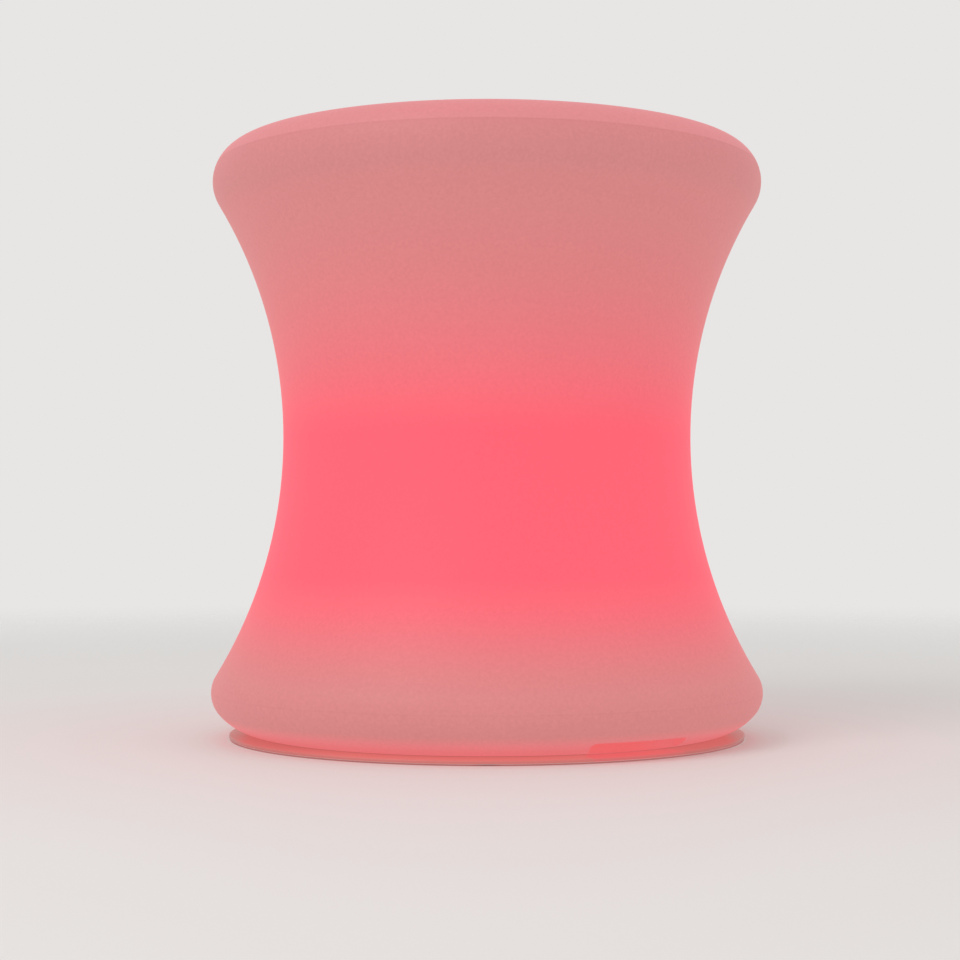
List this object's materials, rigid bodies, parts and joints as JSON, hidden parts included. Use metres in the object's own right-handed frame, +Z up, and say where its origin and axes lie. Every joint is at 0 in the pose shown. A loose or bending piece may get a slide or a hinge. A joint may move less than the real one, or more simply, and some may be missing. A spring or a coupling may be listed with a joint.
{
  "type": "led light-up stool",
  "caption": "Waisted drum-shaped stool that glows from a battery lamp inside, with a screwed base plate, underside buttons and a flapped charging socket.",
  "frame": {"origin": "on the floor, at the middle of the stool, where the rubber feet stand", "axes": "+Z up through the middle of the seat, -Y towards the pictured front, +X to the right as seen from the front"},
  "size_m": [0.4, 0.4, 0.43],
  "materials": {
    "body": "translucent rotomoulded polyethylene with a fine satin grain, lit from inside",
    "base": "white moulded plastic, satin",
    "gasket": "soft foam rubber",
    "foot": "matt rubber",
    "screw": "zinc plated",
    "insert": "turned brass",
    "lamp_plastic": "white moulded plastic, light gloss",
    "silicone": "translucent grey silicone",
    "power_cap": "red moulded plastic",
    "colour_cap": "grey moulded plastic",
    "black_plastic": "black moulded plastic",
    "flap": "black rubber",
    "control_board": "green circuit board",
    "cell": "blue shrink sleeve over a steel can",
    "strap": "bent nylon band",
    "lead": "black sleeve",
    "lamp_board": "white circuit board",
    "led": "clear resin over a lit chip",
    "sensor": "dark epoxy",
    "dome": "opal diffuser plastic"
  },
  "bodies": {
    "stool": {"stool_shell": "body", "base_plate": "base", "base_gasket": "gasket", "foot_pad_1": "foot", "foot_pad_2": "foot", "foot_pad_3": "foot", "foot_pad_4": "foot", "foot_pad_5": "foot", "foot_pad_6": "foot", "base_screw_1": "screw", "base_screw_2": "screw", "base_screw_3": "screw", "base_screw_4": "screw", "base_insert_1": "insert", "base_insert_2": "insert", "base_insert_3": "insert", "base_insert_4": "insert", "lamp_housing": "lamp_plastic", "housing_gasket": "silicone", "lamp_screw_1": "screw", "lamp_screw_2": "screw", "lamp_screw_3": "screw", "lamp_screw_4": "screw", "control_screw_1": "screw", "control_screw_2": "screw", "control_screw_3": "screw", "cradle_screw_1": "screw", "cradle_screw_2": "screw", "board_screw_1": "screw", "board_screw_2": "screw", "board_screw_3": "screw", "power_switch": "black_plastic", "colour_switch": "black_plastic", "charging_socket": "black_plastic", "control_board": "control_board", "battery_cradle": "black_plastic", "battery_cell_1": "cell", "battery_cell_2": "cell", "battery_strap": "strap", "battery_lead": "lead", "lamp_lead": "lead", "lamp_board": "lamp_board", "led_1": "led", "led_2": "led", "led_3": "led", "led_4": "led", "led_5": "led", "led_6": "led", "led_7": "led", "led_8": "led", "remote_sensor": "sensor", "diffuser_dome": "dome", "dome_seal": "silicone"},
    "power_key": {"power_button": "power_cap"},
    "colour_key": {"colour_button": "colour_cap"},
    "charge_flap": {"socket_flap": "flap"}
  },
  "joints": [
    {"name": "power_button_press", "type": "slide", "parent": "stool", "child": "power_key", "axis": [0, 0, 1], "range_m": [0, 0.0012], "stiffness_N_per_m": 300, "springref_m": -0.001},
    {"name": "colour_button_press", "type": "slide", "parent": "stool", "child": "colour_key", "axis": [0, 0, 1], "range_m": [0, 0.0012], "stiffness_N_per_m": 300, "springref_m": -0.001},
    {"name": "socket_flap_hinge", "type": "hinge", "parent": "stool", "child": "charge_flap", "pos_m": [0, 0.0275, 0.0077], "axis": [1, 0, 0], "range_deg": [0, 110]}
  ]
}
